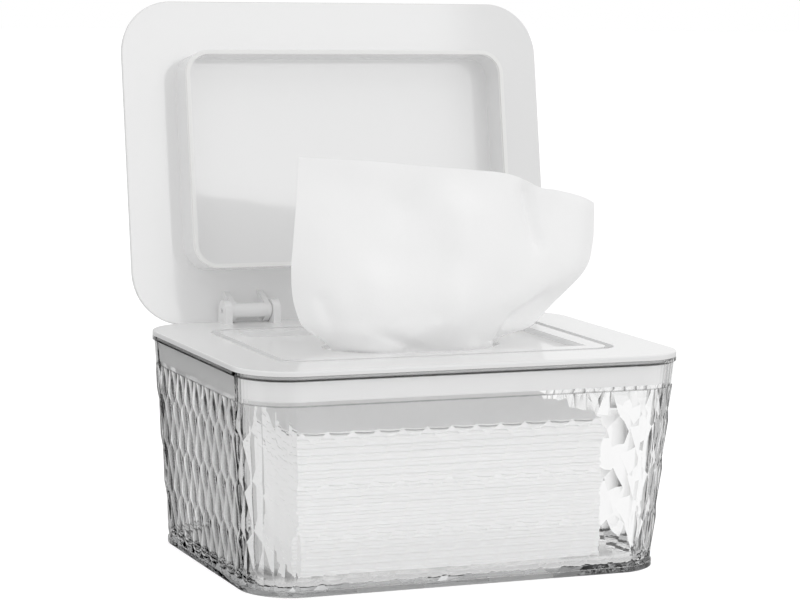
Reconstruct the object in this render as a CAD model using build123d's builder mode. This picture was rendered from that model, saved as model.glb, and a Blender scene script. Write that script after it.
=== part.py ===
from build123d import *
from math import ceil, cos, pi, radians, sin
import os

# Countertop wipes dispenser: a clear box with a diamond-faceted wall, a white frame that plugs into
# its rim, a flip cover with a sealing ring on two pinned hinges, and a stack of folded wipes.
# Origin: middle of the box's foot, on the surface it stands on. X along its length, front at -Y.
# Millimetres. The cover is modelled open, leaning back on its stop.

# Clear box
frame_length = 195.0
frame_width = 141.2
frame_corner = 21.5
rim_height = 89.6
lip_height = 1.8
lip_overhang = 0.8
band_height = 10.4
foot_length = 183.2
foot_width = 130.5
foot_corner = 21.7
foot_height = 2.4
foot_step = 1.0
box_wall = 2.5
box_floor = 3.0
floor_round = 6.0
foot_round = 0.6

# Diamond facets of the box: each diamond is a kite with a raised middle
facet_pitch = 10.7
facet_period = 20.4
facet_waist = 5.3
facet_top_drop = 10.4
facet_relief = 0.6
front_columns = 14
corner_columns = 8
side_columns = 7

# White frame
flange_thickness = 2.0
flange_round = 0.7
skirt_depth = 10.7
skirt_wall = 2.0
skirt_clearance = 0.35
groove_depth = 3.1
groove_width = 3.7
groove_clearance = 0.5
moulding_wall = 1.7
recess_length = 128.6
recess_width = 74.5
recess_depth = 2.3
recess_middle = 0.75
opening_length = 78.0
opening_width = 46.0
opening_round = 0.8

# Flip cover
cover_length = 198.35
cover_width = 141.9
cover_corner = 23.3
cover_thickness = 2.4
cover_outer_round = 1.5
cover_inner_round = 0.4
ring_length = 150.7
ring_width = 94.7
ring_corner = 10.5
ring_back = 23.6
ring_height = 15.8
ring_wall = 1.7
seal_height = 1.8
seal_tongue_height = 1.2
seal_tongue_wall = 0.7
seal_fit = 0.03
open_angle = 100.49

# Hinges
hinge_middle = 48.75
hinge_axis_inset = 4.6
hinge_axis_height = 5.4
hinge_axis_to_cover = 7.45
hinge_axis_to_cover_edge = 5.2
ear_thickness = 3.4
ear_radius = 4.6
knuckle_length = 18.3
knuckle_radius = 3.2
knuckle_side_gap = 0.3
gusset_thickness = 2.6
gusset_height = 15.0
web_height = 8.5
web_thickness = 2.2
heel_reach = 1.5
stop_gap = 0.15
pin_radius = 1.1
pin_fit = 0.01
pin_clearance = 0.05
pin_end_gap = 0.4
pin_chamfer = 0.2

# Wipes
wipe_count = 20
wipe_length = 136.6
wipe_width = 92.0
wipe_thickness = 2.9
wipe_gap = 0.05
tail_thickness = 1.6
tail_neck_clearance = 3.2
tail_lift = 0.3
tail_neck_turn = 20.0
tail_neck_fold_turn = 55.0
tail_left_reach = 59.5
tail_left_widest_height = 33.0
tail_left_corner_inset = 5.0
tail_left_height = 78.5
tail_left_end_depth = 1.0
tail_right_reach = 87.0
tail_right_widest_height = 40.0
tail_right_corner_inset = 1.0
tail_right_height = 57.5
tail_right_end_depth = 9.0
tail_shoulder_inset = 13.0
tail_shoulder_height = 19.0
tail_top_reach = 25.0
tail_top_height = 73.0
tail_flare_height = 6.0
tail_left_flare_inset = 8.0
tail_right_flare_inset = 31.4

# Levels and planes worked out from the sizes above
band_top = rim_height - lip_height
band_bottom = band_top - band_height
frame_top = rim_height + flange_thickness
skirt_bottom = rim_height - skirt_depth
groove_floor = frame_top - groove_depth
recess_floor = frame_top - recess_depth
stack_top = box_floor + wipe_count * (wipe_thickness + wipe_gap)
ear_inner = knuckle_length / 2 + knuckle_side_gap
hinge_y = frame_width / 2 - hinge_axis_inset
hinge_z = frame_top + hinge_axis_height
lean = radians(open_angle - 90)
up_cover = Vector(0, sin(lean), cos(lean))
into_box = Vector(0, -cos(lean), sin(lean))
hinge_axis_point = Vector(0, hinge_y, hinge_z)
cover_face_point = hinge_axis_point - into_box * hinge_axis_to_cover
cover_edge_point = cover_face_point - up_cover * hinge_axis_to_cover_edge
cover_plane = Plane(origin=cover_edge_point, x_dir=(1, 0, 0), z_dir=into_box)
ring_middle = ring_back + ring_width / 2
closed_ring_middle = hinge_y + hinge_axis_to_cover_edge - ring_middle

os.makedirs("parts", exist_ok=True)


def save(piece, name):
    piece.label = name
    export_step(piece, f"parts/{name}.step")


def wall_outline(height):
    """Half length, half width and corner radius of the faceted wall's base surface at a height."""
    top = (frame_length / 2 - lip_overhang, frame_width / 2 - lip_overhang, frame_corner - lip_overhang)
    foot = (foot_length / 2 - foot_step, foot_width / 2 - foot_step, foot_corner - foot_step)
    share = (height - foot_height) / (band_top - foot_height)
    return [low + (high - low) * share for low, high in zip(foot, top)]


def wall_rectangle(height, inset=0.0):
    half_length, half_width, corner = wall_outline(height)
    RectangleRounded(2 * (half_length - inset), 2 * (half_width - inset), corner - inset)


def quarter_point(column, height, relief):
    """A facet corner on the front-right quarter, counted in columns from the middle of the front."""
    half_length, half_width, corner = wall_outline(height)
    front = half_length - corner
    side = half_width - corner
    bend = pi / 2 * corner
    step = facet_pitch / 2
    last = front_columns + corner_columns + side_columns
    corner_start = front_columns * step
    corner_end = front + bend + side - side_columns * step
    if column <= front_columns:
        path = column * step
    elif column >= front_columns + corner_columns:
        path = front + bend + side - (last - column) * step
    else:
        path = corner_start + (corner_end - corner_start) * (column - front_columns) / corner_columns
    if path <= front:
        return Vector(path, -half_width - relief)
    if path >= front + bend:
        return Vector(half_length + relief, path - front - bend - side)
    turn = (path - front) / corner
    reach = corner + relief
    return Vector(front + reach * sin(turn), -side - reach * cos(turn))


def facet_point(column, height, relief):
    """A facet corner anywhere round the wall, from the front-right quarter by symmetry."""
    last = front_columns + corner_columns + side_columns
    quarter, along = divmod(column, last)
    quarter = quarter % 4
    near = quarter_point(along if quarter % 2 == 0 else last - along, height, relief)
    across = 1 if quarter in (0, 1) else -1
    depth = 1 if quarter in (0, 3) else -1
    return Vector(across * near.X, depth * near.Y, height)


def facet_levels():
    """Heights of the rows of facet corners, from above the band to below the foot."""
    first = band_bottom - facet_top_drop
    above = ceil((band_bottom - first) / facet_period)
    below = ceil((first - foot_height) / facet_period)
    levels = []
    for row in range(-above, below + 1):
        upper = first - row * facet_period
        levels.append(upper)
        levels.append(upper - facet_waist)
    return [level for level in levels if level > foot_height - facet_period and level < band_top]


def facet_block():
    """A closed solid whose sides are the raised diamonds: kites in rows, each with a raised middle."""
    levels = facet_levels()
    columns = 4 * (front_columns + corner_columns + side_columns)
    first = band_bottom - facet_top_drop
    start = 0 if round((levels[0] - first) / facet_period, 6).is_integer() else 1
    rows = []
    for row, height in enumerate(levels):
        parity = (row + start) % 2
        reliefs = [0.0 if column % 2 == parity else facet_relief for column in range(columns)]
        rows.append([facet_point(column, height, relief) for column, relief in enumerate(reliefs)])
    faces = []
    for row in range(len(levels) - 1):
        for column in range(columns):
            following = (column + 1) % columns
            top_left, top_right = rows[row][column], rows[row][following]
            low_left, low_right = rows[row + 1][column], rows[row + 1][following]
            if column % 2 == (row + start) % 2:
                triangles = ((top_left, low_left, low_right), (top_left, low_right, top_right))
            else:
                triangles = ((top_right, top_left, low_left), (top_right, low_left, low_right))
            faces += [Face(Wire.make_polygon(corners)) for corners in triangles]
    faces.append(Face(Wire.make_polygon(rows[0])))
    faces.append(Face(Wire.make_polygon(rows[-1])))
    return Solid(Shell(faces))


with BuildPart() as box_hollow:
    with BuildSketch(Plane.XY.offset(box_floor)):
        wall_rectangle(box_floor, box_wall)
    with BuildSketch(Plane.XY.offset(rim_height)):
        wall_rectangle(rim_height, box_wall)
    loft()
    fillet(box_hollow.faces().sort_by(Axis.Z)[0].edges(), floor_round)

with BuildPart() as clear_box:
    add(facet_block())
    split(bisect_by=Plane.XY.offset(band_bottom), keep=Keep.BOTTOM)
    split(bisect_by=Plane.XY.offset(foot_height), keep=Keep.TOP)
    with BuildSketch(Plane.XY):
        RectangleRounded(foot_length, foot_width, foot_corner)
    extrude(amount=foot_height)
    fillet(clear_box.faces().sort_by(Axis.Z)[0].edges(), foot_round)
    with BuildSketch(Plane.XY.offset(band_bottom)):
        wall_rectangle(band_bottom)
    with BuildSketch(Plane.XY.offset(band_top)):
        wall_rectangle(band_top)
    loft()
    with BuildSketch(Plane.XY.offset(band_top)):
        RectangleRounded(frame_length, frame_width, frame_corner)
    extrude(amount=lip_height)
    add(box_hollow.part, mode=Mode.SUBTRACT)
save(clear_box.part, "clear_box")

# Frame: a flange on the box's rim, a skirt inside it, a groove for the cover's ring and a recess
# with the oval that the wipes come through, and four ears for the hinge pins.
def ring_rectangle(growth):
    """The outline of the closed cover's ring on the frame, grown all round."""
    with Locations((0, closed_ring_middle)):
        RectangleRounded(ring_length + 2 * growth, ring_width + 2 * growth, ring_corner + growth)


def ear_profile():
    with Locations((hinge_y, hinge_z)):
        Circle(ear_radius)
    with Locations((hinge_y, rim_height)):
        Rectangle(2 * ear_radius, hinge_z - rim_height, align=(Align.CENTER, Align.MIN))


with BuildPart() as top_frame:
    with BuildSketch(Plane.XY.offset(rim_height)):
        RectangleRounded(frame_length, frame_width, frame_corner)
    extrude(amount=flange_thickness)
    fillet(top_frame.faces().sort_by(Axis.Z)[-1].edges(), flange_round)
    for inset, mode in ((skirt_clearance, Mode.ADD), (skirt_clearance + skirt_wall, Mode.SUBTRACT)):
        for height in (skirt_bottom, rim_height):
            with BuildSketch(Plane.XY.offset(height)):
                wall_rectangle(height, box_wall + inset)
        loft(mode=mode)
    with BuildSketch(Plane.XY.offset(groove_floor - moulding_wall)):
        ring_rectangle(groove_clearance + moulding_wall)
    extrude(until=Until.NEXT)
    with BuildSketch(Plane.XY.offset(groove_floor)):
        ring_rectangle(groove_clearance)
        with BuildSketch(mode=Mode.SUBTRACT):
            ring_rectangle(groove_clearance - groove_width)
    extrude(amount=groove_depth, mode=Mode.SUBTRACT)
    with BuildSketch(Plane.XY.offset(recess_floor)):
        with Locations((0, recess_middle)):
            Rectangle(recess_length, recess_width)
    extrude(amount=recess_depth, mode=Mode.SUBTRACT)
    with BuildSketch(Plane.XY.offset(groove_floor - moulding_wall)):
        Ellipse(opening_length / 2, opening_width / 2)
    extrude(amount=recess_floor - groove_floor + moulding_wall, mode=Mode.SUBTRACT)
    flat_faces = top_frame.faces().filter_by(Plane.XY)
    recess_face = flat_faces.filter_by_position(Axis.Z, recess_floor, recess_floor)[0]
    fillet(recess_face.inner_wires()[0].edges(), opening_round)
    for side in (-1, 1):
        for offset_in_pair in (-ear_inner - ear_thickness, ear_inner):
            with BuildSketch(Plane.YZ.offset(side * hinge_middle + offset_in_pair)):
                ear_profile()
            extrude(amount=ear_thickness)
    with BuildSketch(Plane.YZ):
        with Locations((hinge_y, hinge_z)):
            Circle(pin_radius + pin_fit)
    extrude(amount=frame_length / 2, both=True, mode=Mode.SUBTRACT)
save(top_frame.part, "top_frame")

# Hinge pins, pressed into the ears
for name, side in (("left", -1), ("right", 1)):
    with BuildPart() as hinge_pin:
        with BuildSketch(Plane.YZ.offset(side * hinge_middle)):
            with Locations((hinge_y, hinge_z)):
                Circle(pin_radius)
        extrude(amount=ear_inner + ear_thickness - pin_end_gap, both=True)
        chamfer(hinge_pin.edges().filter_by(GeomType.CIRCLE), pin_chamfer)
    save(hinge_pin.part, f"hinge_pin_{name}")


# Cover: a flat panel with a ring wall on its inner face and two knuckles that turn on the pins.
# Its sketches lie on cover_plane: X along the box, Y up the open cover, Z out of its inner face.
def on_cover(up, out):
    """A point of the cover's side view, up from its lower edge and out from its inner face."""
    point = cover_edge_point + up_cover * up + into_box * out
    return (point.Y, point.Z)


def heel_up():
    """How far up the middle of the panel the knuckle's heel starts, just above the frame."""
    drop = frame_top + stop_gap - on_cover(0, -cover_thickness / 2)[1]
    return drop / cos(lean)


def ring_tongue(growth):
    """The strip in the middle of the ring wall that holds the seal, grown on both sides."""
    inset = (ring_wall - seal_tongue_wall) / 2 - growth
    RectangleRounded(ring_length - 2 * inset, ring_width - 2 * inset, ring_corner - inset)
    offset(amount=-seal_tongue_wall - 2 * growth, mode=Mode.SUBTRACT)


def knuckle_profile(*cover_points):
    with Locations((hinge_y, hinge_z)):
        Circle(knuckle_radius)
    Polygon(*cover_points, align=None)
    make_hull()


inside_panel = -cover_thickness / 2
gusset_points = (
    on_cover(gusset_height, inside_panel),
    on_cover(heel_up(), inside_panel),
    (hinge_y + heel_reach, frame_top + stop_gap),
)
web_points = (
    on_cover(web_height, inside_panel),
    on_cover(web_height - web_thickness, inside_panel),
    (hinge_y, hinge_z),
)

with BuildPart() as cover:
    with BuildSketch(cover_plane):
        with Locations((0, cover_width / 2)):
            RectangleRounded(cover_length, cover_width, cover_corner)
    extrude(amount=-cover_thickness)
    through_panel = Axis((0, 0, 0), into_box)
    fillet(cover.faces().sort_by(through_panel)[0].edges(), cover_outer_round)
    fillet(cover.faces().sort_by(through_panel)[-1].edges(), cover_inner_round)
    with BuildSketch(cover_plane):
        with Locations((0, ring_middle)):
            RectangleRounded(ring_length, ring_width, ring_corner)
            offset(amount=-ring_wall, mode=Mode.SUBTRACT)
    extrude(amount=ring_height - seal_height)
    with BuildSketch(cover_plane.offset(ring_height - seal_height - seal_tongue_height)):
        with Locations((0, ring_middle)):
            ring_tongue(seal_fit)
    extrude(amount=seal_tongue_height, mode=Mode.SUBTRACT)
    for side in (-1, 1):
        with BuildSketch(Plane.YZ.offset(side * hinge_middle)):
            knuckle_profile(*web_points)
        extrude(amount=knuckle_length / 2, both=True)
        for start in (-knuckle_length / 2, knuckle_length / 2 - gusset_thickness):
            with BuildSketch(Plane.YZ.offset(side * hinge_middle + start)):
                knuckle_profile(*gusset_points)
            extrude(amount=gusset_thickness)
    with BuildSketch(Plane.YZ):
        with Locations((hinge_y, hinge_z)):
            Circle(pin_radius + pin_clearance)
    extrude(amount=cover_length / 2, both=True, mode=Mode.SUBTRACT)
save(cover.part, "cover")

# Silicone strip on the ring's rim, held by a tongue in the ring wall
with BuildPart() as cover_seal:
    with BuildSketch(cover_plane.offset(ring_height - seal_height)):
        with Locations((0, ring_middle)):
            RectangleRounded(ring_length, ring_width, ring_corner)
            offset(amount=-ring_wall, mode=Mode.SUBTRACT)
    extrude(amount=seal_height)
    with BuildSketch(cover_plane.offset(ring_height - seal_height - seal_tongue_height + seal_fit)):
        with Locations((0, ring_middle)):
            ring_tongue(0)
    extrude(amount=seal_tongue_height - seal_fit)
save(cover_seal.part, "cover_seal")

# Folded wipes, stacked on the box's floor with their folds at the front and back
for index in range(wipe_count):
    wipe_middle = box_floor + index * (wipe_thickness + wipe_gap) + wipe_thickness / 2
    with BuildPart() as wipe:
        with BuildSketch(Plane.YZ):
            with Locations((0, wipe_middle)):
                SlotOverall(wipe_width, wipe_thickness)
        extrude(amount=wipe_length / 2, both=True)
    save(wipe.part, f"wipe_{index + 1:02d}")


# Pulled wipe: it comes up through the front half of the oval and spreads above the frame
def tail_neck_point(turn):
    """A point of the wipe's path in plan, turned round an oval inside the opening's front half."""
    reach = opening_length / 2 - tail_neck_clearance
    depth = opening_width / 2 - tail_neck_clearance
    return (reach * cos(radians(turn)), -depth * sin(radians(turn)))


neck_left = tail_neck_point(180 - tail_neck_turn)
neck_right = tail_neck_point(tail_neck_turn)
tail_bottom = stack_top + tail_lift
neck_top = frame_top + tail_lift
left_corner = (tail_left_corner_inset - tail_left_reach, frame_top + tail_left_height)
right_corner = (tail_right_reach - tail_right_corner_inset, frame_top + tail_right_height)

with BuildPart() as pulled_wipe:
    with BuildSketch(Plane.XY.offset(tail_bottom)):
        with BuildLine():
            Spline(
                (-tail_left_reach - tail_thickness, tail_left_end_depth),
                neck_left,
                tail_neck_point(180 - tail_neck_fold_turn),
                tail_neck_point(90),
                tail_neck_point(tail_neck_fold_turn),
                neck_right,
                (tail_right_reach + tail_thickness, tail_right_end_depth),
            )
        trace(line_width=tail_thickness)
    extrude(amount=frame_top + tail_left_height - tail_bottom)
    with BuildSketch(Plane.XZ):
        with BuildLine():
            Polyline(
                (neck_left[0], neck_top),
                (neck_left[0], tail_bottom),
                (neck_right[0], tail_bottom),
                (neck_right[0], neck_top),
            )
            Spline(
                (neck_right[0], neck_top),
                (tail_right_reach - tail_right_flare_inset, frame_top + tail_flare_height),
                (tail_right_reach - tail_shoulder_inset, frame_top + tail_shoulder_height),
                (tail_right_reach, frame_top + tail_right_widest_height),
                right_corner,
            )
            ThreePointArc(right_corner, (tail_top_reach, frame_top + tail_top_height), left_corner)
            Spline(
                left_corner,
                (-tail_left_reach, frame_top + tail_left_widest_height),
                (tail_left_flare_inset - tail_left_reach, frame_top + tail_flare_height),
                (neck_left[0], neck_top),
            )
        make_face()
    extrude(amount=frame_width / 2, both=True, mode=Mode.INTERSECT)
save(pulled_wipe.part, "pulled_wipe")
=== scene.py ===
import bpy
import bmesh
import math
import random
from mathutils import Matrix, Vector, noise


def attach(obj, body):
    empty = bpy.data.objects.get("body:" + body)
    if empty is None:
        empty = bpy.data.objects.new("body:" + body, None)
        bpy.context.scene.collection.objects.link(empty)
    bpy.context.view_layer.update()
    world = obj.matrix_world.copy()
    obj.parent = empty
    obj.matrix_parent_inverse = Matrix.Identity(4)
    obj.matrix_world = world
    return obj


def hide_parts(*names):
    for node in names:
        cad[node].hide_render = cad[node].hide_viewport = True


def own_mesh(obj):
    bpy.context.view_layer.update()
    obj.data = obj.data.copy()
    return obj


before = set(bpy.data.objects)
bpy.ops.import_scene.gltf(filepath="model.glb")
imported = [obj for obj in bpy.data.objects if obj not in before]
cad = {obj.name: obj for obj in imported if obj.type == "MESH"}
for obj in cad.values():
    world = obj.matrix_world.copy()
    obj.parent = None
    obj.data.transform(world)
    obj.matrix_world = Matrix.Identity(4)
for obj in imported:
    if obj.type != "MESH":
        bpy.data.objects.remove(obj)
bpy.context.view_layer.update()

mm = 0.001
degree = math.radians(1)
random.seed(7)
bpy.ops.object.select_all(action="DESELECT")

cameraValues = {
    "place": (-0.45903, -1.07391, 0.26080),
    "looksAlong": (0.38579, 0.91344, -0.12961),
    "rollDegrees": 1.12,
    "lens": 125.685,
    "sensorWidth": 36,
}


def addCamera(values):
    forward = Vector(values["looksAlong"]).normalized()
    level = forward.cross(Vector((0, 0, 1))).normalized()
    upright = level.cross(forward)
    roll = math.radians(values["rollDegrees"])
    across = level * math.cos(roll) + upright * math.sin(roll)
    upwards = upright * math.cos(roll) - level * math.sin(roll)
    bpy.ops.object.camera_add()
    camera = bpy.context.object
    camera.name = "camera"
    camera.data.lens = values["lens"]
    camera.data.sensor_width = values["sensorWidth"]
    turned = Matrix((across, upwards, -forward)).transposed().to_4x4()
    turned.translation = Vector(values["place"])
    camera.matrix_world = turned
    bpy.context.scene.camera = camera


addCamera(cameraValues)
print("camera placed")


def newMaterial(name):
    material = bpy.data.materials.new(name)
    material.use_nodes = True
    tree = material.node_tree
    return material, tree, tree.nodes["Principled BSDF"]


def addNode(tree, kind, inputs=None, **settings):
    node = tree.nodes.new(kind)
    for key, value in settings.items():
        setattr(node, key, value)
    for key, value in (inputs or {}).items():
        node.inputs[key].default_value = value
    return node


def objectNoise(tree, scale, detail, stretch=(1, 1, 1)):
    place = addNode(tree, "ShaderNodeTexCoord")
    mapping = addNode(tree, "ShaderNodeMapping", {"Scale": stretch})
    cloud = addNode(tree, "ShaderNodeTexNoise", {"Scale": scale, "Detail": detail})
    tree.links.new(place.outputs["Object"], mapping.inputs["Vector"])
    tree.links.new(mapping.outputs["Vector"], cloud.inputs["Vector"])
    return cloud.outputs["Fac"]


def rangeOf(tree, output, low, high):
    node = addNode(tree, "ShaderNodeMapRange", {"To Min": low, "To Max": high})
    tree.links.new(output, node.inputs["Value"])
    return node.outputs["Result"]


def addRamp(tree, output, unit, stops):
    # a grey level that follows the output, from stops written in the given unit
    low, high = stops[0][0], stops[-1][0]
    share = addNode(tree, "ShaderNodeMapRange", {"From Min": low * unit, "From Max": high * unit})
    ramp = addNode(tree, "ShaderNodeValToRGB")
    elements = ramp.color_ramp.elements
    while len(elements) < len(stops):
        elements.new(0.5)
    for element, (at, level) in zip(elements, stops):
        element.position = (at - low) / (high - low)
        element.color = (level, level, level, 1)
    tree.links.new(output, share.inputs["Value"])
    tree.links.new(share.outputs["Result"], ramp.inputs["Fac"])
    return ramp.outputs["Color"]


def cloudRoughness(tree, shader, values):
    stretch = values.get("cloudStretch", (1, 1, 1))
    cloud = objectNoise(tree, values["cloudScale"], values["cloudDetail"], stretch)
    tree.links.new(rangeOf(tree, cloud, *values["roughness"]), shader.inputs["Roughness"])


def noiseBump(tree, shader, values):
    height = objectNoise(tree, values["bumpScale"], values["bumpDetail"])
    bump = addNode(tree, "ShaderNodeBump",
                   {"Strength": values["bumpStrength"], "Distance": values["bumpDistance"]})
    tree.links.new(height, bump.inputs["Height"])
    tree.links.new(bump.outputs["Normal"], shader.inputs["Normal"])


whiteValues = {
    "colour": (0.83, 0.83, 0.83, 1),
    "ior": 1.5,
    "cloudScale": 24,
    "cloudDetail": 2,
    "roughness": (0.07, 0.12),
    "bumpScale": 60,
    "bumpDetail": 2,
    "bumpStrength": 0.04,
    "bumpDistance": 0.0004,
}


def makeWhitePlastic(values):
    material, tree, shader = newMaterial("whitePlastic")
    shader.inputs["Base Color"].default_value = values["colour"]
    shader.inputs["IOR"].default_value = values["ior"]
    cloudRoughness(tree, shader, values)
    noiseBump(tree, shader, values)
    return material


clearValues = {
    "ior": 1.49,
    "cloudScale": 30,
    "cloudDetail": 2,
    "roughness": (0.0, 0.01),
    # thick plastic seen along its length is a little grey
    "smoke": (0.55, 0.56, 0.57, 1),
    "smokeDensity": 5.0,
    # painted shade by height in mm: the foot painted grey, and thin dark lines painted under the band, the
    # lip and the flange where shade falls
    "paintedShadeByHeight": [
        (0, 0.5), (2.5, 0.5), (2.8, 1), (77.2, 1), (77.3, 0.45), (77.5, 0.45), (77.6, 1),
        (87.4, 1), (87.5, 0.02), (88.0, 0.02), (88.1, 1), (89.2, 1), (89.35, 0.5), (89.6, 0.5),
    ],
}


def makeClearPlastic(values):
    material, tree, shader = newMaterial("clearPlastic")
    place = addNode(tree, "ShaderNodeTexCoord")
    parts = addNode(tree, "ShaderNodeSeparateXYZ")
    tree.links.new(place.outputs["Object"], parts.inputs["Vector"])
    # the base colour is darkened by height: painted shade on the foot and in thin lines under the band,
    # lip and flange
    tree.links.new(addRamp(tree, parts.outputs["Z"], mm, values["paintedShadeByHeight"]), shader.inputs["Base Color"])
    shader.inputs["Transmission Weight"].default_value = 1
    shader.inputs["IOR"].default_value = values["ior"]
    cloudRoughness(tree, shader, values)
    smoke = addNode(tree, "ShaderNodeVolumeAbsorption",
                    {"Color": values["smoke"], "Density": values["smokeDensity"]})
    tree.links.new(smoke.outputs["Volume"], tree.nodes["Material Output"].inputs["Volume"])
    return material


siliconeValues = {
    "colour": (0.86, 0.86, 0.85, 1),
    "cloudScale": 200,
    "cloudDetail": 3,
    "roughness": (0.35, 0.5),
}


def makeSilicone(values):
    material, tree, shader = newMaterial("silicone")
    shader.inputs["Base Color"].default_value = values["colour"]
    cloudRoughness(tree, shader, values)
    return material


steelValues = {
    "colour": (0.62, 0.62, 0.63, 1),
    "cloudScale": 900,
    "cloudDetail": 2,
    "cloudStretch": (1, 0.2, 0.2),  # fine rings round the pin, from turning
    "roughness": (0.2, 0.4),
}


def makeSteel(values):
    material, tree, shader = newMaterial("pinSteel")
    shader.inputs["Metallic"].default_value = 1
    shader.inputs["Base Color"].default_value = values["colour"]
    cloudRoughness(tree, shader, values)
    return material


fabricValues = {
    "colour": (0.95, 0.95, 0.95, 1),
    "roughness": 0.85,
    "bumpScale": 900,
    "bumpDetail": 4,
    "bumpStrength": 0.25,
    "bumpDistance": 0.0002,
}


def makeWipeFabric(values):
    material, tree, shader = newMaterial("wipeFabric")
    shader.inputs["Base Color"].default_value = values["colour"]
    shader.inputs["Roughness"].default_value = values["roughness"]
    noiseBump(tree, shader, values)
    return material


whitePlastic = makeWhitePlastic(whiteValues)
clearPlastic = makeClearPlastic(clearValues)
silicone = makeSilicone(siliconeValues)
pinSteel = makeSteel(steelValues)
wipeFabric = makeWipeFabric(fabricValues)
print("materials made")


def finish(obj, material):
    obj.data.materials.clear()
    obj.data.materials.append(material)


for name in ("top_frame", "cover"):
    finish(cad[name], whitePlastic)
finish(cad["cover_seal"], silicone)
for name in ("hinge_pin_left", "hinge_pin_right"):
    finish(cad[name], pinSteel)
print("moulded pieces finished")


def pickOnly(obj):
    bpy.ops.object.select_all(action="DESELECT")
    obj.select_set(True)
    bpy.context.view_layer.objects.active = obj


def smoothBelow(obj, degrees):
    pickOnly(obj)
    bpy.ops.object.shade_smooth_by_angle(angle=math.radians(degrees))


def applyModifier(obj, kind, **settings):
    pickOnly(obj)
    modifier = obj.modifiers.new(kind.title(), kind)
    for key, value in settings.items():
        setattr(modifier, key, value)
    bpy.ops.object.modifier_apply(modifier=modifier.name)
    obj.select_set(False)


boxValues = {
    "mergeDistance": 0.000002,
    "ridgeAngle": 25,
    "valleyAngle": 2,
}


def polishBox(values):
    # each diamond is one smooth pillow, with a sharp valley round it
    source = cad["clear_box"]
    box = source.copy()
    box.data = source.data.copy()
    box.name = "clearBox"
    bpy.context.scene.collection.objects.link(box)
    pickOnly(box)
    bpy.ops.mesh.customdata_custom_splitnormals_clear()
    bpy.ops.object.shade_smooth()
    bpy.ops.object.mode_set(mode="EDIT")
    bpy.ops.mesh.select_all(action="SELECT")
    bpy.ops.mesh.remove_doubles(threshold=values["mergeDistance"])
    bpy.ops.mesh.mark_sharp(clear=True)
    bpy.ops.mesh.select_mode(type="EDGE")
    bpy.ops.mesh.select_all(action="DESELECT")
    shape = bmesh.from_edit_mesh(box.data)
    for edge in shape.edges:
        if len(edge.link_faces) == 2:
            bend = math.degrees(edge.calc_face_angle())
            valley = bend > values["valleyAngle"] and not edge.is_convex
            edge.select = bend > values["ridgeAngle"] or valley
    bmesh.update_edit_mesh(box.data)
    bpy.ops.mesh.mark_sharp()
    bpy.ops.object.mode_set(mode="OBJECT")
    finish(box, clearPlastic)
    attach(box, "box")
    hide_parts("clear_box")
    print("clear box polished", len(box.data.polygons), "faces")


polishBox(boxValues)


def sheetMesh(name, rows):
    mesh = bpy.data.meshes.new(name)
    shape = bmesh.new()
    made = [[shape.verts.new(point) for point in row] for row in rows]
    for near, far in zip(made, made[1:]):
        for i in range(len(near) - 1):
            shape.faces.new((near[i], near[i + 1], far[i + 1], far[i]))
    shape.to_mesh(mesh)
    shape.free()
    obj = bpy.data.objects.new(name, mesh)
    bpy.context.scene.collection.objects.link(obj)
    return obj


# lengths in mm
pulledValues = {
    "steps": 6,
    "thickness": 0.45,
    "smoothAngle": 60,
    "softFolds": 1.4,
    "softFoldSize": 26,
    "creases": 0.55,
    "creaseSize": 17,
    "creaseShift": (7, 3, 5),
    # the cloth is calm in the opening and moves freely from a little above it
    "calmHeight": 92,
    "freeOver": 14,
    "leastFree": 0.12,
    "foldsAbove": 90,
    # folds as lines across the cloth: from (x, z) to (x, z), height towards the front, width
    "folds": [
        ((16, 160), (-7.6, 146.3), -3.0, 9),
        ((-7.6, 146.3), (-15, 131.6), -3.0, 9),
        ((13.4, 146), (6.7, 103), 4.2, 8),
        ((47.5, 154), (51.9, 133), -4.2, 3.5),
        ((78, 145), (72, 122), 4.5, 10),
        ((-44.6, 111), (-37.9, 92.5), -2.2, 3),
        ((-11.3, 92), (-2.3, 101), 1.6, 3),
        ((32, 90), (38.8, 101), -2.0, 3),
        ((-13, 123.5), (6.5, 127), -1.4, 9),
        ((-30, 92), (-26, 118), 2.2, 6),
    ],
}


def levelRow(halfLength, y, z):
    # fifteen points in a straight line, as many as every row has
    return [(round(halfLength * i / 7, 1), y, z) for i in range(-7, 8)]


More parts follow.
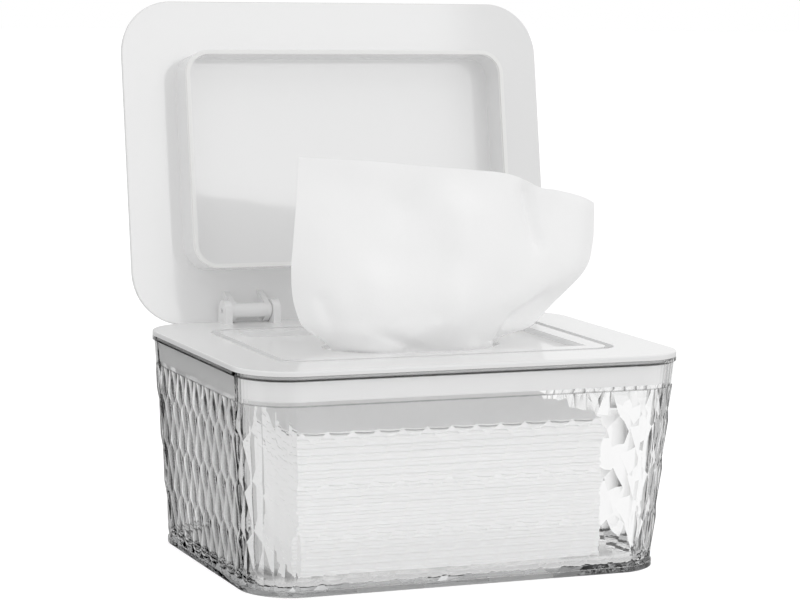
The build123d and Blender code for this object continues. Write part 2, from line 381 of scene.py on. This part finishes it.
# rows from the wipe's top edge down through the opening, forwards over the stack and back under,
# each from its left side to its right, with the turned-back flap at the right of rows 6 to 9
pulledRows = [
    [(-50.3, 4, 169), (-39.8, 1.5, 168.4), (-28.9, -1.5, 167.9), (-15.3, -4.5, 166.9),
     (-3.5, -8.5, 166), (8.6, -12, 165.1), (20.3, -13.5, 164.2), (32.1, -13, 163), (40.4, -11, 161.2),
     (48.5, -8, 158.4), (55.8, -6.5, 155.4), (64.4, -3.5, 154.2), (72.4, 0, 152.4), (79.9, 3.5, 150.1),
     (87.1, 8, 147.3)],
    [(-51.2, 3, 158.3), (-40.6, 0, 158), (-29.8, -3, 157.2), (-17.1, -7, 156.6), (-5.7, -11, 155.9),
     (5.7, -15, 155.2), (17.1, -17, 154.4), (29.1, -16, 152.8), (38.6, -13.5, 151.1),
     (48.5, -8.5, 148.4), (55.4, -8, 146), (64, -5, 144.7), (72.6, -1, 143.3), (80.4, 3, 141.4),
     (88, 8, 138.6)],
    [(-52.4, 1.5, 146.4), (-42.5, -3, 146.3), (-32, -7, 145.6), (-19.8, -11, 144.9),
     (-8.9, -15, 144.3), (2.4, -18, 143.5), (13.6, -20.5, 142.7), (25.7, -20, 141.5),
     (36.4, -17, 140.1), (48.5, -11, 138.4), (54.9, -10.5, 137.3), (63.2, -7, 135.9),
     (71.9, -3, 134.4), (80, 1.5, 132.5), (87.7, 7, 129.1)],
    [(-53.9, 0, 134.2), (-44.7, -6, 134.2), (-34.7, -11, 133.7), (-23, -15, 133.4),
     (-12.4, -18.5, 132.7), (-1.3, -21, 132.2), (9.6, -24, 131.9), (21.7, -24.5, 130.8),
     (33.8, -21, 129.7), (48.1, -14.5, 127.7), (55.4, -13, 126.9), (63.3, -9.5, 125.9),
     (71, -5.5, 124.8), (78, -1, 123.2), (84.5, 4.5, 120.2)],
    [(-54.6, 0, 122.5), (-46.7, -8, 122.8), (-37.5, -14, 122.9), (-26.3, -18, 122.6),
     (-16.1, -21.5, 122.3), (-5.1, -24, 121.9), (6, -26.5, 121.4), (18.5, -27, 120.7),
     (31.1, -23.5, 119.9), (44.1, -18.5, 118.5), (52.1, -15.5, 117.5), (59, -12, 116.4),
     (64.8, -8, 115.3), (70.1, -4, 114.3), (76, 1, 113)],
    [(-53.8, 0.5, 111.6), (-47.3, -9, 112.2), (-39.4, -16, 112.4), (-29.1, -20, 112.2),
     (-19.2, -23, 111.8), (-9.1, -25.5, 111.8), (1.1, -28, 111.8), (12.1, -28.5, 111.5),
     (24.2, -26, 111.2), (35.7, -22, 110.7), (43, -18.5, 110.5), (49.3, -15, 109.8), (51.3, -9, 107.7),
     (58.9, -5, 107), (66.6, -1, 106.4)],
    [(-52.1, -1, 104.2), (-46.2, -10, 104.4), (-39.1, -16.5, 104.6), (-29.6, -20.5, 104.4),
     (-20.6, -23.5, 104.5), (-11.4, -26, 104.5), (-1.7, -27.5, 104.3), (8.2, -27.5, 104.4),
     (19.1, -25.5, 104.2), (28.8, -22.5, 104.3), (34.5, -20, 104.2), (39.7, -17, 104),
     (41.6, -11, 101.9), (50.5, -7, 101.5), (60, -3, 101)],
    [(-48.8, -2, 98.4), (-44.2, -9.5, 98), (-38.1, -15.5, 98.2), (-29.9, -19.5, 98),
     (-21.2, -21, 97.9), (-13.3, -24.5, 98.1), (-4.1, -25, 97.8), (5.2, -24.5, 97.8),
     (14.9, -23, 97.7), (23.9, -20.5, 97.8), (30.5, -18, 97.7), (35.4, -16.5, 98.1), (36.1, -13, 96.4),
     (43.6, -9, 96), (51.6, -6, 95.7)],
    [(-38.2, -2.8, 91), (-34, -10.4, 91), (-25.6, -16.8, 91), (-15, -19.4, 91), (-7.5, -16.6, 91),
     (0.3, -19.6, 91), (7, -19.8, 91), (13, -19.6, 91), (19.5, -18.8, 91), (25, -15.8, 91),
     (30, -13.2, 91), (33.4, -10.6, 91), (32, -8.5, 91), (35.4, -7, 91), (38, -4, 91)],
    [(-35.5, -2.6, 82), (-31.6, -9.6, 82), (-23.8, -15.5, 82), (-14, -17.8, 82), (-7, -15.3, 82),
     (0.3, -18, 82), (6.5, -18.2, 82), (12.1, -18, 82), (18.1, -17.3, 82), (23.2, -14.5, 82),
     (27.9, -12.1, 82), (31.1, -9.8, 82), (29.8, -7.8, 82), (32.9, -6.4, 82), (35.3, -3.7, 82)],
    [(-44, -11.9, 74), (-37.7, -12, 74), (-31.4, -15.3, 74), (-25.1, -14.8, 74), (-18.9, -17.6, 74),
     (-12.6, -16.5, 74), (-6.3, -18.8, 74), (0, -17.1, 74), (6.3, -18.8, 74), (12.6, -16.5, 74),
     (18.9, -17.6, 74), (25.1, -14.8, 74), (31.4, -15.3, 74), (37.7, -12, 74), (44, -11.9, 74)],
    [(-57, -21.7, 67.2), (-48.9, -21.6, 67.3), (-40.7, -24.1, 67.4), (-32.6, -23.7, 67.5),
     (-24.4, -25.8, 67.6), (-16.3, -24.9, 67.7), (-8.1, -26.6, 67.7), (0, -25.3, 67.7),
     (8.1, -26.6, 67.7), (16.3, -24.9, 67.7), (24.4, -25.8, 67.6), (32.6, -23.7, 67.5),
     (40.7, -24.1, 67.4), (48.9, -21.6, 67.3), (57, -21.7, 67.2)],
    [(-65, -34, 64), (-55.7, -34.5, 64.1), (-46.4, -35, 64.1), (-37.1, -35.3, 64.1),
     (-27.9, -35.6, 64.2), (-18.6, -35.8, 64.2), (-9.3, -36, 64.2), (0, -36, 64.2), (9.3, -36, 64.2),
     (18.6, -35.8, 64.2), (27.9, -35.6, 64.2), (37.1, -35.3, 64.1), (46.4, -35, 64.1),
     (55.7, -34.5, 64.1), (65, -34, 64)],
    levelRow(67.4, -44.2, 63.1),
    levelRow(67.5, -45.2, 62.8),
    levelRow(67.5, -30, 62.5),
    levelRow(67.5, -8, 62.5),
]


def curveBetween(before, start, end, after, t):
    square = (before * 2 - start * 5 + end * 4 - after) * t * t
    cube = (start * 3 - before - end * 3 + after) * t * t * t
    return start + ((end - before) * t + (square + cube)) * 0.5


def smoothLine(points, steps):
    line = []
    for i in range(len(points) - 1):
        before = points[max(i - 1, 0)]
        after = points[min(i + 2, len(points) - 1)]
        line += [curveBetween(before, points[i], points[i + 1], after, k / steps) for k in range(steps)]
    return line + [points[-1]]


def foldHeight(point, folds):
    height = 0
    for start, end, rise, width in folds:
        start, end = Vector(start), Vector(end)
        along = min(max((point - start).dot(end - start) / (end - start).length_squared, 0), 1)
        height += rise * math.exp(-((point - start.lerp(end, along)).length / width) ** 2)
    return height


def wrinkle(obj, values):
    # soft folds and finer creases, fading towards the opening
    moved = []
    for vertex in obj.data.vertices:
        height = vertex.co.z / mm
        free = min(max((height - values["calmHeight"]) / values["freeOver"], values["leastFree"]), 1)
        fold = noise.noise(vertex.co / (values["softFoldSize"] * mm))
        creasePlace = vertex.co / (values["creaseSize"] * mm) + Vector(values["creaseShift"])
        crease = 0.5 - abs(noise.noise(creasePlace))
        shift = vertex.normal * (values["softFolds"] * fold + values["creases"] * crease) * free
        if height > values["foldsAbove"]:
            shift.y -= foldHeight(Vector((vertex.co.x, vertex.co.z)) / mm, values["folds"])
        moved.append(shift * mm)
    for vertex, shift in zip(obj.data.vertices, moved):
        vertex.co += shift


def pullWipe(values):
    across = [smoothLine([Vector(point) * mm for point in row], values["steps"]) for row in pulledRows]
    down = [smoothLine(list(column), values["steps"]) for column in zip(*across)]
    obj = sheetMesh("pulledWipe", [list(row) for row in zip(*down)])
    wrinkle(obj, values)
    applyModifier(obj, "SOLIDIFY", thickness=values["thickness"] * mm, offset=0)
    smoothBelow(obj, values["smoothAngle"])
    finish(obj, wipeFabric)
    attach(obj, "frame")
    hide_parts("pulled_wipe")
    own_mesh(obj)


pullWipe(pulledValues)
print("pulled wipe shaped")

# lengths in mm; two folded wipes lie in each slab's place
stackValues = {
    "slabs": 20,
    "bottom": 3.0,
    "slabPitch": 2.95,
    "slabThickness": 2.9,
    "halfLength": 68.3,
    "halfWidth": 46.0,
    "sideGap": 0.05,
    "clothThickness": 0.725,
    "smoothAngle": 50,
    "slack": 0.06,
    "sidewaysShift": 0.25,
    "foldRoundness": 0.35,
    "flatSteps": 8,
    "foldSteps": 4,
    "lengthSteps": 16,
    "shorterBy": 0.006,
    # rise of the cloth, and its share of width lost; each with its turn per column and per wipe
    "wave": (0.03, 0.9, 0.2),
    "narrowing": (0.002, 0.7, 1.7),
}


def foldedProfile(low, layer, turn, values):
    # across, round the fold and back, as (y, z)
    crease = layer / 2
    reach = values["halfWidth"] - crease - values["sideGap"]
    bulge = crease * values["foldRoundness"]
    profile = []
    slack = random.uniform(0.0, values["slack"])
    span = 2 * reach + bulge - slack
    for step in range(values["flatSteps"] + 1):
        y = -reach - bulge + slack + span * step / values["flatSteps"]
        profile.append((turn * y, low))
    for step in range(1, values["foldSteps"]):
        angle = math.pi * step / values["foldSteps"]
        profile.append((turn * (reach + bulge * math.sin(angle)), low + crease - crease * math.cos(angle)))
    slack = random.uniform(0.0, values["slack"])
    span = 2 * reach + bulge - slack
    for step in range(values["flatSteps"] + 1):
        y = reach - span * step / values["flatSteps"]
        profile.append((turn * y, low + layer))
    return profile


def foldedWipe(index, values):
    slab, half = divmod(index, 2)
    layer = values["slabThickness"] / 4
    low = values["bottom"] + slab * values["slabPitch"] + half * 2 * layer + layer / 2
    turn = 1 if index % 2 == 0 else -1
    profile = foldedProfile(low, layer, turn, values)
    shift = random.uniform(-values["sidewaysShift"], values["sidewaysShift"])
    rise, risePerColumn, risePerWipe = values["wave"]
    loss, lossPerColumn, lossPerWipe = values["narrowing"]
    rows = []
    for column in range(values["lengthSteps"] + 1):
        x = -values["halfLength"] + 2 * values["halfLength"] * column / values["lengthSteps"]
        x = x * (1 - values["shorterBy"]) + shift
        wave = rise * math.sin(column * risePerColumn + index * risePerWipe)
        width = 1 - loss * (1 + math.sin(column * lossPerColumn + index * lossPerWipe))
        rows.append([Vector((x, y * width, z + wave)) * mm for y, z in profile])
    obj = sheetMesh(f"foldedWipe{index + 1:02d}", rows)
    applyModifier(obj, "SOLIDIFY", thickness=values["clothThickness"] * mm, offset=0)
    smoothBelow(obj, values["smoothAngle"])
    finish(obj, wipeFabric)
    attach(obj, "box")
    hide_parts(f"wipe_{slab + 1:02d}")


for index in range(2 * stackValues["slabs"]):
    foldedWipe(index, stackValues)
print("stack of wipes folded")

studioValues = {
    # light on the object by rise in degrees, from straight below to straight above
    "lightByRise": [(-90, 0.8), (-10, 0.76), (15, 0.78), (50, 0.98), (90, 1.0)],
    "background": 1.0,
    "insideBox": 0.88,
    # what clear and glossy plastic shows of the studio: panels by compass angle from +Y towards +X
    "panelsByCompass": [
        (-180, 0.4), (-125, 0.45), (-100, 0.85), (-60, 0.6), (-40, 0.5), (-38, 0), (-13, 0), (-8, 0.5),
        (14, 0.5), (26, 1.0), (44, 1.0), (50, 0.5), (90, 0.5), (110, 0.95), (160, 0.85), (172, 0.6),
        (180, 0.4),
    ],
    "panelsByRise": [(-45, 0), (-35, 1), (20, 1), (35, 0)],
    "table": 0.85,
    "keyPlace": (0.45, -1.2, 0.54),
    "keyAim": (0, 0, 0.12),
    "keySize": (0.4, 0.36),
    "keyPower": 1.25,
    "floorSize": 12,
    "floorColour": (0.62, 0.62, 0.62, 1),
    "floorRoughness": 0.9,
    "floorGlow": (0.2, 0.56),  # to the object, to the camera
}


def mathNode(tree, operation, first, second=None):
    node = addNode(tree, "ShaderNodeMath", operation=operation)
    for socket, value in zip(node.inputs, (first, second)):
        if isinstance(value, (int, float)):
            socket.default_value = value
        elif value is not None:
            tree.links.new(value, socket)
    return node.outputs["Value"]


def mixNode(tree, factor, first, second):
    node = addNode(tree, "ShaderNodeMix", data_type="RGBA")
    tree.links.new(factor, node.inputs["Factor"])
    for name, value in (("A", first), ("B", second)):
        if isinstance(value, (int, float)):
            node.inputs[name].default_value = (value, value, value, 1)
        else:
            tree.links.new(value, node.inputs[name])
    return node.outputs["Result"]


def addWorld(values):
    world = bpy.data.worlds.new("studio")
    bpy.context.scene.world = world
    world.use_nodes = True
    tree = world.node_tree
    rays = addNode(tree, "ShaderNodeLightPath")
    way = addNode(tree, "ShaderNodeTexCoord")
    parts = addNode(tree, "ShaderNodeSeparateXYZ")
    tree.links.new(way.outputs["Generated"], parts.inputs["Vector"])
    compass = mathNode(tree, "ARCTAN2", parts.outputs["X"], parts.outputs["Y"])
    rise = mathNode(tree, "ARCSINE", parts.outputs["Z"])
    panels = addRamp(tree, compass, degree, values["panelsByCompass"])
    reach = addRamp(tree, rise, degree, values["panelsByRise"])
    shown = mixNode(tree, reach, values["table"], panels)
    # panels only for what the camera sees in or through the plastic; light on its way stays plain
    firstHand = mathNode(tree, "LESS_THAN", rays.outputs["Diffuse Depth"], 0.5)
    shown = mixNode(tree, firstHand, values["insideBox"], shown)
    mirrored, refracted = rays.outputs["Is Glossy Ray"], rays.outputs["Is Transmission Ray"]
    throughPlastic = mathNode(tree, "MAXIMUM", mirrored, refracted)
    soft = addRamp(tree, rise, degree, values["lightByRise"])
    light = mixNode(tree, throughPlastic, soft, shown)
    light = mixNode(tree, rays.outputs["Is Camera Ray"], light, values["background"])
    tree.links.new(light, tree.nodes["Background"].inputs["Color"])


def addFloor(values):
    bpy.ops.mesh.primitive_plane_add(size=values["floorSize"])
    floor = bpy.context.object
    floor.name = "floor"
    floor.visible_glossy = False
    floor.visible_transmission = False
    material, tree, shader = newMaterial("floor")
    shader.inputs["Base Color"].default_value = values["floorColour"]
    shader.inputs["Roughness"].default_value = values["floorRoughness"]
    shader.inputs["Specular IOR Level"].default_value = 0
    shader.inputs["Emission Color"].default_value = (1, 1, 1, 1)
    # white to the camera, plainer to the object
    rays = addNode(tree, "ShaderNodeLightPath")
    glow = rangeOf(tree, rays.outputs["Is Camera Ray"], *values["floorGlow"])
    tree.links.new(glow, shader.inputs["Emission Strength"])
    floor.data.materials.append(material)


def addKey(values):
    bpy.ops.object.light_add(type="AREA", location=values["keyPlace"])
    key = bpy.context.object
    key.name = "keyLight"
    key.data.shape = "RECTANGLE"
    key.data.size, key.data.size_y = values["keySize"]
    key.data.energy = values["keyPower"]
    key.rotation_euler = (Vector(values["keyAim"]) - key.location).to_track_quat("-Z", "Y").to_euler()


scene = bpy.context.scene
scene.view_settings.view_transform = "Standard"
scene.cycles.max_bounces = 24  # light runs a long way along the foot
scene.cycles.diffuse_bounces = 8
scene.cycles.glossy_bounces = 16
scene.cycles.transmission_bounces = 24
scene.cycles.blur_glossy = 0  # keeps the inside of the clear box as bright as it is
addWorld(studioValues)
addFloor(studioValues)
addKey(studioValues)
print("studio lit")
